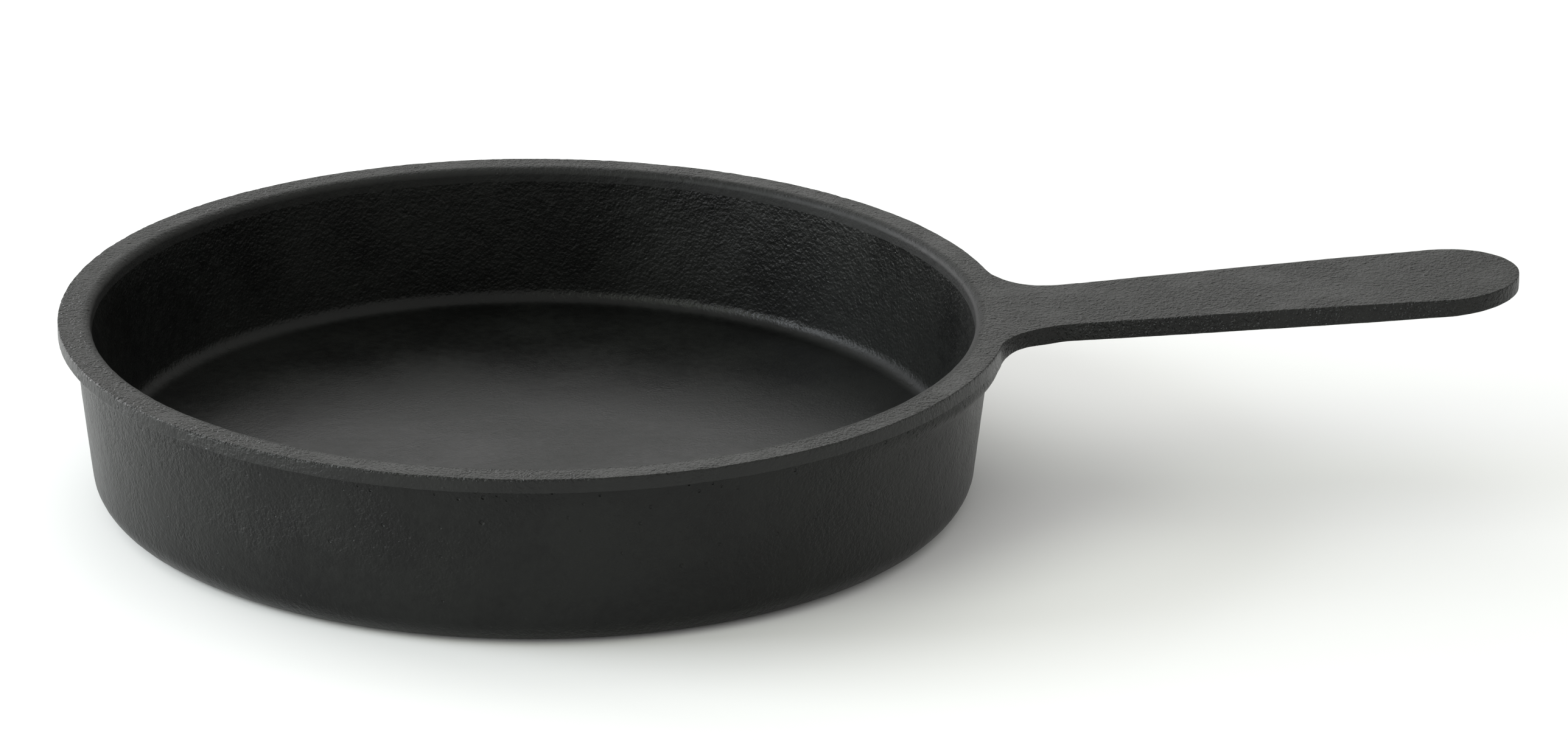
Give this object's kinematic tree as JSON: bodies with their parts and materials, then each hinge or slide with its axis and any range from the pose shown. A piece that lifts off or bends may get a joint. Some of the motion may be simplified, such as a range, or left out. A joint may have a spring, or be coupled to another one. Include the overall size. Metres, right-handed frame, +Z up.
{
  "type": "cast iron skillet",
  "caption": "Small round cast iron skillet: shallow pan with a leaning wall, a flat rim flange with a rounded inner lip, and a flat handle that flares out of the rim and ends round.",
  "frame": {"origin": "centre of the flat base, on the surface the skillet stands on", "axes": "+Z up out of the pan, +X along the handle, away from the pan"},
  "size_m": [0.3408, 0.2212, 0.052],
  "materials": {
    "floor_iron": "satin, fine grain, seasoned",
    "wall_iron": "sand-cast texture with fine pits, seasoned",
    "rim_iron": "fine sand-cast grain on a flat face, seasoned",
    "handle_iron": "fine sand-cast grain with small pits, seasoned"
  },
  "bodies": {
    "root": {"pan_floor": "floor_iron", "side_wall": "wall_iron", "rim_flange": "rim_iron", "handle": "handle_iron"}
  },
  "joints": []
}
